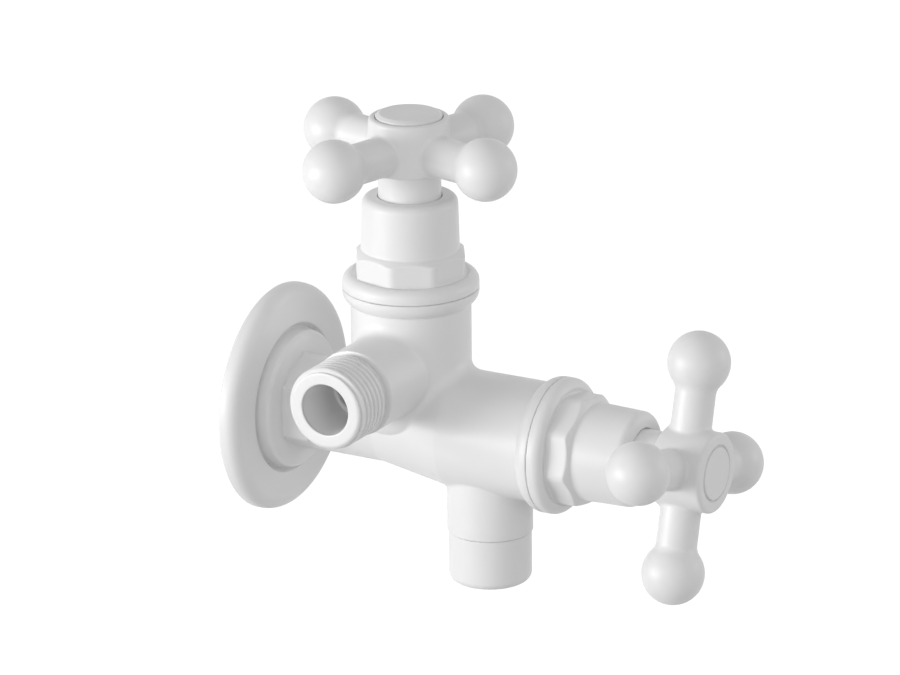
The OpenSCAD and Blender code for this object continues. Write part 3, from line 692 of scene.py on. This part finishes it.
DISC = Lathe(
    [(0, 0), (DISC_R - DISC_BEVEL, 0), (DISC_R, DISC_BEVEL)]
    + arc(DISC_R - DISC_ROUND, DISC_H - DISC_ROUND, DISC_ROUND, 0, 90)
    + [
        (BOSS_R + GROOVE_TOP_W, DISC_H),
        (BOSS_R + GROOVE_FLOOR_W, DISC_H - BOSS_GROOVE),
        (BOSS_R, DISC_H - BOSS_GROOVE / 2),
        (BOSS_R - BOSS_SLOPE / 3, BOSS_TOP - BOSS_SHOULDER_LOW),
        (BOSS_R - BOSS_SLOPE, BOSS_TOP - BOSS_SHOULDER_HIGH),
        (HEX_CORNER_R, BOSS_TOP),
        (0, BOSS_TOP),
    ],
    soft=EDGE_SOFT,
)
SLEEVE = Lathe(
    [(0, STUB_END + SLEEVE_GAP), (SLEEVE_R, STUB_END + SLEEVE_GAP)]
    + arc(SLEEVE_R - SLEEVE_ROUND, SLEEVE_END - SLEEVE_ROUND, SLEEVE_ROUND, 0, 90)
    + [(0, SLEEVE_END)],
    soft=SLEEVE_SOFT,
)


def disc_field(x, y, z):
    """The wall flange with its boss, hollow behind, its face towards +Z."""
    r = np.hypot(x, y)
    inner = DISC_BORE_R + DISC_WALL
    hollow = np.maximum(r - DISC_R + DISC_WALL + DISC_ROUND / 2, z - DISC_H + DISC_WALL)
    under_boss = np.maximum(r - BOSS_R + DISC_WALL, z - BOSS_TOP + DISC_WALL + BOSS_SLOPE)
    hollow = np.maximum(np.minimum(hollow, under_boss), inner - r)
    bored = cut(DISC(r, z), r - DISC_BORE_R, DISC_EDGE_ROUND)
    return cut(bored, hollow, DISC_EDGE_ROUND)


def sleeve_field(x, y, z):
    """The sleeve on the lower outlet with the lip that holds its insert."""
    r = np.hypot(x, y)
    hollow = np.minimum(
        np.maximum(r - SLEEVE_BORE_R, z - SLEEVE_END + SLEEVE_LIP_H), r - SLEEVE_LIP_R
    )
    return cut(SLEEVE(r, z), hollow, SLEEVE_EDGE_ROUND)


def button_field(profile):
    """Field of a button with its hollow plug, from the profile of its cap."""
    cap = Lathe(profile, soft=CAP_SOFT)

    def field(x, y, z):
        r = np.hypot(x, y)
        plug = np.maximum(r - PLUG_R, np.abs(z - PLUG_MIDDLE) - PLUG_MIDDLE + PLUG_LOW)
        solid = np.minimum(cap(r, z), plug)
        bore = np.maximum(r - PLUG_BORE_R, z - BUTTON_RECESS_Z)
        return cut(solid, bore, BUTTON_EDGE_ROUND)

    return field


RAISED_BUTTON = button_field(
    [
        (0, BUTTON_RECESS_Z),
        (BUTTON_R, BUTTON_RECESS_Z),
        (BUTTON_R, HUB_TOP + BUTTON_RISE / 3),
        (BUTTON_FLAT_R, HUB_TOP + BUTTON_RISE),
        (0, HUB_TOP + BUTTON_RISE),
    ]
)
FLUSH_BUTTON = button_field(
    [
        (0, BUTTON_RECESS_Z),
        (BUTTON_RECESS_R + COVER_W, BUTTON_RECESS_Z),
        (BUTTON_RECESS_R + COVER_W, HUB_TOP + COVER_RISE),
        (RING_R + RING_W, HUB_TOP + COVER_RISE),
        (RING_R + RING_W / 2, HUB_TOP - RING_DEPTH),
        (RING_R - RING_W / 2, HUB_TOP - RING_DEPTH),
        (RING_R - RING_W, HUB_TOP + FLUSH_RISE),
        (0, HUB_TOP + FLUSH_RISE),
    ]
)


def mesh_object(name, points, faces, normals=None):
    """A smooth mesh object from points in millimetres."""
    mesh = bpy.data.meshes.new(name)
    mesh.from_pydata((points * MM).tolist(), [], faces.tolist())
    mesh.shade_smooth()
    if normals is not None:
        mesh.normals_split_custom_set_from_vertices(normals.tolist())
    piece = bpy.data.objects.new(name, mesh)
    bpy.context.scene.collection.objects.link(piece)
    return piece


def add_piece(piece, body, node, material_slot):
    """Lets a piece ride on a body in the place of a CAD node."""
    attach(piece, body)
    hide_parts(node)
    made.append((piece, material_slot))


def turned(points, degrees):
    """The points turned about Z."""
    c, s = math.cos(math.radians(degrees)), math.sin(math.radians(degrees))
    x, y, z = points.T
    return np.stack([c * x - s * y, s * x + c * y, z], 1)


def as_it_is(points):
    """Directions on the upper valve."""
    return points


def swung(points):
    """Directions on the front valve, whose axis runs along -Y."""
    x, y, z = points.T
    return np.stack([x, -z, y], 1)


def downward(points):
    """Directions on the lower outlet, whose axis runs along -Z."""
    return points * np.array([1, -1, -1])


UPPER_SEAT = np.array([0, -COLUMN_Y, COLUMN_TOP])
FRONT_SEAT = np.array([0, -BARREL_FRONT, 0])
VALVES = {
    "upper": (as_it_is, UPPER_SEAT, UPPER_OCTAGON_TURN, RAISED_BUTTON),
    "front": (swung, FRONT_SEAT, FRONT_OCTAGON_TURN, FLUSH_BUTTON),
}
made = []

points, quads, normals = moulded(body_field, *BODY_GRID)
shell = mesh_object("body_shell", points, quads, normals)
add_piece(shell, "cock_body", "valve_body", "white_plastic")

arms, arm_quads, arm_normals = moulded(handle_field, *HANDLE_GRID)
arms = turned(arms, HANDLE_TURN) + [0, 0, HANDLE_H]
arm_normals = turned(arm_normals, HANDLE_TURN)

for valve, (way, place, octagon_turn, button) in VALVES.items():
    points, quads, normals = moulded(bonnet_field(octagon_turn), *BONNET_GRID)
    shell = mesh_object(valve + "_bonnet_shell", way(points) + place, quads, way(normals))
    add_piece(shell, "cock_body", valve + "_bonnet", "white_plastic")
    cross = mesh_object(
        valve + "_cross_handle", way(arms) + place, arm_quads, way(arm_normals)
    )
    add_piece(cross, valve + "_head", valve + "_handle", "white_plastic")
    points, quads, normals = moulded(button, *BUTTON_GRID)
    points = way(points + [0, 0, HANDLE_H]) + place
    cap = mesh_object(valve + "_button_cap", points, quads, way(normals))
    add_piece(cap, valve + "_head", valve + "_index_button", "white_plastic")

points, quads, normals = moulded(disc_field, *DISC_GRID)
disc = mesh_object("wall_disc", swung(points), quads, swung(normals))
add_piece(disc, "cock_body", "wall_flange", "white_plastic")

points, quads, normals = moulded(sleeve_field, *SLEEVE_GRID)
points = downward(points) - [0, LOWER_Y, 0]
sleeve = mesh_object("outlet_ring", points, quads, downward(normals))
add_piece(sleeve, "cock_body", "outlet_sleeve", "white_plastic")


def thread_tube(start, tip):
    """Points and faces of a half inch pipe thread up to its chamfered tip, bored out."""
    theta = np.linspace(0, 2 * math.pi, TUBE_SIDES, endpoint=False)
    middle, swing = (CREST_R + ROOT_R) / 2, (CREST_R - ROOT_R) / 2
    last_crest = tip - CHAMFER - CREST_FLAT / 2
    lip_start, lip_end = TIP_LIP / 3, 3 * TIP_LIP
    rings = []
    for along in np.arange(start, tip - LAST_RING_GAP, PITCH / RINGS_PER_PITCH):
        wave = np.cos(2 * math.pi * (along - last_crest) / PITCH - theta)
        radius = middle + swing * np.tanh(CREST_SHARPNESS * (wave + CREST_SHARE))
        chamfer = TIP_R + (tip - along) * (CREST_R - TIP_R) / CHAMFER
        radius = np.minimum(radius, chamfer)
        radius = np.minimum(radius, ROOT_R + (along - start))
        rings.append((radius, along))
    rings += [
        (TIP_R - lip_start, tip - lip_start),
        (TIP_R - TIP_LIP, tip),
        (TIP_R - lip_end, tip),
        (BORE_R + lip_end, tip),
        (BORE_R + TIP_LIP, tip),
        (BORE_R + lip_start, tip - lip_start),
        (BORE_R, tip - TIP_LIP),
        (BORE_R, tip - TUBE_DEPTH),
        (CORE_R - TUBE_SINK, tip - TUBE_DEPTH),
        (CORE_R - TUBE_SINK, start),
    ]
    points = np.concatenate(
        [
            np.stack([r * np.cos(theta), r * np.sin(theta), 0 * theta + a], 1)
            for r, a in rings
        ]
    )
    first = np.arange(len(rings))[:, None] * TUBE_SIDES
    second = np.roll(first, -1)
    k = np.arange(TUBE_SIDES)[None]
    m = (k + 1) % TUBE_SIDES
    faces = np.stack([first + k, first + m, second + m, second + k], -1)
    return points, faces.reshape(-1, 4)


points, faces = thread_tube(RELIEF_END, SIDE_TIP)
x, y, z = points.T
points = np.stack([-z, y - COLUMN_Y, x + SIDE_Z], 1)
thread = mesh_object("side_outlet_thread", points, faces)
add_piece(thread, "cock_body", "valve_body", "white_plastic")

points, faces = thread_tube(COLLAR_W, INLET_L)
x, y, z = points.T
points = np.stack([x, z, -y], 1)
thread = mesh_object("inlet_thread", points, faces)
add_piece(thread, "cock_body", "valve_body", "white_plastic")

# Swells to the metre and detail of each noise, and depths of relief in metres
CLOUD = (45, 3)
GLOSS_CLOUD = (140, 4)
SWELL = (90, 1)
GRAIN = (2200, 2)
PAPER_CLOUD = (30, 2)
SWELL_DEPTH = 0.0004
GRAIN_DEPTH = 0.00005

# Range of a noise that is spread over a colour or a value
NOISE_LOW = 0.3
NOISE_HIGH = 0.7

# Shares of a material's roughness in its glossiest and its dullest places
GLOSSIEST = 0.88
DULLEST = 1.12

# Refractive index of every material
IOR = 1.49


def coordinates(tree):
    """Object coordinates of a material, in metres."""
    return tree.nodes.new("ShaderNodeTexCoord").outputs["Object"]


def noise(tree, scale, detail):
    """Factor of a noise texture with so many swells to the metre."""
    node = tree.nodes.new("ShaderNodeTexNoise")
    node.inputs["Scale"].default_value = scale
    node.inputs["Detail"].default_value = detail
    tree.links.new(coordinates(tree), node.inputs["Vector"])
    return node.outputs["Fac"]


def spread(tree, factor, low, high):
    """A value that runs from low to high with a factor."""
    node = tree.nodes.new("ShaderNodeMapRange")
    node.inputs["From Min"].default_value = NOISE_LOW
    node.inputs["From Max"].default_value = NOISE_HIGH
    node.inputs["To Min"].default_value = low
    node.inputs["To Max"].default_value = high
    tree.links.new(factor, node.inputs["Value"])
    return node.outputs["Result"]


def blend(tree, factor, low, high):
    """A colour that runs from low to high with a factor."""
    node = tree.nodes.new("ShaderNodeValToRGB")
    stops = zip(node.color_ramp.elements, (NOISE_LOW, NOISE_HIGH), (low, high))
    for element, position, colour in stops:
        element.position = position
        element.color = (*colour, 1)
    tree.links.new(factor, node.inputs["Fac"])
    return node.outputs["Color"]


def relief(tree, height, strength, depth, below=None):
    """A bump of the given depth in metres, laid over another one."""
    node = tree.nodes.new("ShaderNodeBump")
    node.inputs["Strength"].default_value = strength
    node.inputs["Distance"].default_value = depth
    tree.links.new(height, node.inputs["Height"])
    if below is not None:
        tree.links.new(below, node.inputs["Normal"])
    return node.outputs["Normal"]


def skin(name, colour, shade, roughness, swell, grain, metallic=0.0):
    """A material with a clouded colour and gloss, a soft swell and a fine grain."""
    material = bpy.data.materials.new(name)
    material.use_nodes = True
    tree = material.node_tree
    shader = tree.nodes["Principled BSDF"]
    shader.inputs["Metallic"].default_value = metallic
    shader.inputs["IOR"].default_value = IOR
    cloud = noise(tree, *CLOUD)
    dull = [c * shade for c in colour]
    tree.links.new(blend(tree, cloud, dull, colour), shader.inputs["Base Color"])
    gloss_cloud = noise(tree, *GLOSS_CLOUD)
    gloss = spread(tree, gloss_cloud, roughness * GLOSSIEST, roughness * DULLEST)
    tree.links.new(gloss, shader.inputs["Roughness"])
    soft = relief(tree, noise(tree, *SWELL), swell, SWELL_DEPTH)
    fine = relief(tree, noise(tree, *GRAIN), grain, GRAIN_DEPTH, soft)
    tree.links.new(fine, shader.inputs["Normal"])
    return material


MATERIALS = {
    "white_plastic": skin(
        "gloss_white_plastic",
        colour=(0.82, 0.82, 0.82),
        shade=0.985,
        roughness=0.38,
        swell=0.02,
        grain=0.05,
    ),
    "inner_plastic": skin(
        "natural_plastic",
        colour=(0.74, 0.7, 0.6),
        shade=0.94,
        roughness=0.5,
        swell=0.05,
        grain=0.3,
    ),
    "rubber": skin(
        "black_rubber",
        colour=(0.03, 0.03, 0.032),
        shade=0.7,
        roughness=0.65,
        swell=0.1,
        grain=0.6,
    ),
    "brass": skin(
        "turned_brass",
        colour=(0.73, 0.53, 0.24),
        shade=0.85,
        roughness=0.3,
        swell=0.02,
        grain=0.3,
        metallic=1.0,
    ),
    "steel": skin(
        "zinc_plated_steel",
        colour=(0.62, 0.63, 0.65),
        shade=0.88,
        roughness=0.32,
        swell=0.02,
        grain=0.4,
        metallic=1.0,
    ),
}
for part in frame["record"]["subparts"]:
    node = frame["nodes"][part["node"]]
    node.data.materials.clear()
    node.data.materials.append(MATERIALS[part["material_slot"]])
for piece, material_slot in made:
    piece.data.materials.append(MATERIALS[material_slot])


def seen_directly(tree):
    """1 for camera, glossy and transmission rays, 0 for the rays that light things."""
    path = tree.nodes.new("ShaderNodeLightPath")
    total = path.outputs["Is Camera Ray"]
    for ray in ("Is Glossy Ray", "Is Transmission Ray"):
        node = tree.nodes.new("ShaderNodeMath")
        node.operation = "MAXIMUM"
        tree.links.new(total, node.inputs[0])
        tree.links.new(path.outputs[ray], node.inputs[1])
        total = node.outputs[0]
    return total


# Floor, in metres. Its paper is lifted towards white only where it is seen.
FLOOR_Z = -0.1
FLOOR_REACH = 4.0
FLOOR_LIFT = 0.76
PAPER_DULL = (0.57, 0.57, 0.57)
PAPER_BRIGHT = (0.59, 0.59, 0.59)
PAPER_ROUGHNESS = 0.9
PAPER_SPECULAR = 0.1

corner = [(-1, -1), (1, -1), (1, 1), (-1, 1)]
floor_mesh = bpy.data.meshes.new("floor")
floor_mesh.from_pydata(
    [(x * FLOOR_REACH, y * FLOOR_REACH, FLOOR_Z) for x, y in corner], [], [(0, 1, 2, 3)]
)
floor = bpy.data.objects.new("floor", floor_mesh)
bpy.context.scene.collection.objects.link(floor)
paper = bpy.data.materials.new("white_paper")
paper.use_nodes = True
tree = paper.node_tree
shader = tree.nodes["Principled BSDF"]
shader.inputs["Roughness"].default_value = PAPER_ROUGHNESS
shader.inputs["Specular IOR Level"].default_value = PAPER_SPECULAR
tree.links.new(
    blend(tree, noise(tree, *PAPER_CLOUD), PAPER_DULL, PAPER_BRIGHT),
    shader.inputs["Base Color"],
)
shader.inputs["Emission Color"].default_value = (1, 1, 1, 1)
lift = tree.nodes.new("ShaderNodeMath")
lift.operation = "MULTIPLY"
lift.inputs[1].default_value = FLOOR_LIFT
tree.links.new(seen_directly(tree), lift.inputs[0])
tree.links.new(lift.outputs[0], shader.inputs["Emission Strength"])
floor_mesh.materials.append(paper)

# World: its strength where it lights things, and where it is seen as white
WORLD_LEVEL = 0.47
WORLD_SEEN = 1.0

world = bpy.data.worlds.new("studio")
bpy.context.scene.world = world
world.use_nodes = True
tree = world.node_tree
background = tree.nodes["Background"]
background.inputs["Color"].default_value = (1, 1, 1, 1)
tree.links.new(
    spread(tree, seen_directly(tree), WORLD_LEVEL, WORLD_SEEN),
    background.inputs["Strength"],
)

# Point that the lamps and the camera look at, and the lamps' distance from it, in metres
TARGET = Vector((0, -0.05054, 0.023155))
LAMP_DISTANCE = 0.9


def softbox(name, direction, wide, tall, watts):
    """An area lamp that shines on the object's middle."""
    lamp = bpy.data.lights.new(name, "AREA")
    lamp.shape = "RECTANGLE"
    lamp.size = wide
    lamp.size_y = tall
    lamp.energy = watts
    fitting = bpy.data.objects.new(name, lamp)
    bpy.context.scene.collection.objects.link(fitting)
    way = Vector(direction).normalized()
    fitting.location = TARGET + way * LAMP_DISTANCE
    fitting.rotation_euler = way.to_track_quat("Z", "Y").to_euler()


softbox("key_left", direction=(-0.77, 0.638, 0.06), wide=0.55, tall=0.3, watts=4.6)
softbox("fill_left", direction=(-1, 0, 0.25), wide=0.4, tall=0.4, watts=0.8)
softbox("front_right", direction=(-0.6, -0.8, 0.25), wide=0.5, tall=0.5, watts=0.8)
softbox("edge_right", direction=(0.636, -0.771, 0.2), wide=0.4, tall=0.4, watts=0.8)

# Camera, fitted to the photograph: angles in degrees, distances in metres
AZIMUTH = -60.525
ELEVATION = 18.899
ROLL = -0.527
DISTANCE = 1.5
CLIP_START = 0.05
CLIP_END = 20
FOCAL_PIXELS = 6048.387
WIDTH_PIXELS = 900
SENSOR = 36.0

azimuth, elevation, roll = (math.radians(v) for v in (AZIMUTH, ELEVATION, ROLL))
back = Vector(
    (
        math.sin(azimuth) * math.cos(elevation),
        -math.cos(azimuth) * math.cos(elevation),
        math.sin(elevation),
    )
)
level = Vector((math.cos(azimuth), math.sin(azimuth), 0))
upright = back.cross(level)
right = level * math.cos(roll) + upright * math.sin(roll)
up = upright * math.cos(roll) - level * math.sin(roll)
optics = bpy.data.cameras.new("photo_camera")
optics.sensor_width = SENSOR
optics.lens = FOCAL_PIXELS / WIDTH_PIXELS * SENSOR
optics.clip_start = CLIP_START
optics.clip_end = CLIP_END
camera = bpy.data.objects.new("photo_camera", optics)
bpy.context.scene.collection.objects.link(camera)
turn = Matrix((right, up, back)).transposed()
camera.matrix_world = Matrix.Translation(TARGET + back * DISTANCE) @ turn.to_4x4()
bpy.context.scene.camera = camera
bpy.context.scene.view_settings.view_transform = "Standard"
